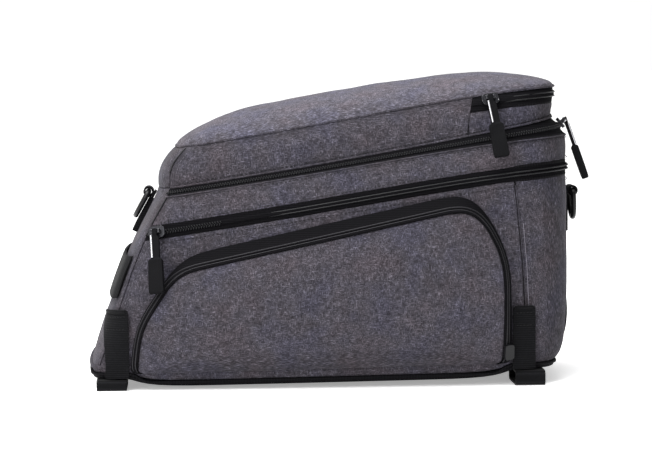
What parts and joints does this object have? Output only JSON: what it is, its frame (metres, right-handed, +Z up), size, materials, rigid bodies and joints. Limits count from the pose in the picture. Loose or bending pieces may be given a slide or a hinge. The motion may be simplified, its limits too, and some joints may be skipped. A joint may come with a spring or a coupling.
{
  "type": "bicycle trunk bag",
  "caption": "Tapered padded rack bag with a zipped lid, an expansion zip, bulged side pockets, rack straps and shoulder-strap rings.",
  "frame": {"origin": "under the middle of the whole bag, on the surface that it stands on", "axes": "+Z up, -X the low sloping front, +X the tall rear, -Y the near side of the picture"},
  "size_m": [0.393, 0.221, 0.2413],
  "materials": {
    "heather_cloth": "heathered charcoal polyester weave",
    "heather_top": "heathered charcoal polyester weave",
    "base_cloth": "matt coated cloth over a board",
    "zip_tape": "black woven zip tape and plastic coil",
    "webbing": "black ribbed webbing",
    "ring_plastic": "black moulded plastic",
    "slider_metal": "black painted zinc",
    "pull_rubber": "ribbed black rubber on a metal stem"
  },
  "bodies": {
    "bag": {"front_panel": "heather_cloth", "side_panel_near": "heather_cloth", "side_panel_far": "heather_cloth", "rear_panel": "heather_cloth", "expansion_band": "heather_cloth", "lid_front_panel": "heather_cloth", "lid_side_near": "heather_cloth", "lid_side_far": "heather_cloth", "lid_rear_panel": "heather_cloth", "pocket_panel_near": "heather_cloth", "pocket_panel_far": "heather_cloth", "lid_top_panel": "heather_top", "base_panel": "base_cloth", "expansion_zip": "zip_tape", "main_zip": "zip_tape", "lid_zip": "zip_tape", "pocket_zip_near": "zip_tape", "pocket_zip_far": "zip_tape", "rack_strap_front_near": "webbing", "rack_strap_front_far": "webbing", "rack_strap_rear_near": "webbing", "rack_strap_rear_far": "webbing", "rack_loop_front_near": "webbing", "rack_loop_front_far": "webbing", "rack_loop_rear_near": "webbing", "rack_loop_rear_far": "webbing", "carry_handle": "webbing", "light_strap": "webbing", "ring_webbing_front": "webbing", "ring_webbing_rear": "webbing", "expansion_zip_slider": "slider_metal", "lid_zip_slider": "slider_metal", "main_zip_slider": "slider_metal", "pocket_slider_near": "slider_metal", "pocket_slider_far": "slider_metal"},
    "front_ring": {"shoulder_ring_front": "ring_plastic"},
    "rear_ring": {"shoulder_ring_rear": "ring_plastic"},
    "expansion_pull": {"expansion_zip_pull": "pull_rubber"},
    "lid_pull": {"lid_zip_pull": "pull_rubber"},
    "main_pull": {"main_zip_pull": "pull_rubber"}
  },
  "joints": [
    {"name": "front_ring_swing", "type": "hinge", "parent": "bag", "child": "front_ring", "pos_m": [-0.14996, 0, 0.14818], "axis": [0, 1, 0], "range_deg": [0, 120]},
    {"name": "rear_ring_swing", "type": "hinge", "parent": "bag", "child": "rear_ring", "pos_m": [0.18823, 0, 0.146], "axis": [0, -1, 0], "range_deg": [0, 120]},
    {"name": "expansion_pull_lift", "type": "hinge", "parent": "bag", "child": "expansion_pull", "pos_m": [-0.14423, -0.08898, 0.12255], "axis": [-0.947, 0.2906, -0.1369], "range_deg": [0, 100]},
    {"name": "lid_pull_lift", "type": "hinge", "parent": "bag", "child": "lid_pull", "pos_m": [0.11484, -0.07516, 0.22252], "axis": [-0.9908, -0.0275, -0.1326], "range_deg": [0, 100]},
    {"name": "main_pull_lift", "type": "hinge", "parent": "bag", "child": "main_pull", "pos_m": [0.17848, -0.03277, 0.20364], "axis": [-0.1221, -0.9924, -0.0171], "range_deg": [0, 100]}
  ]
}
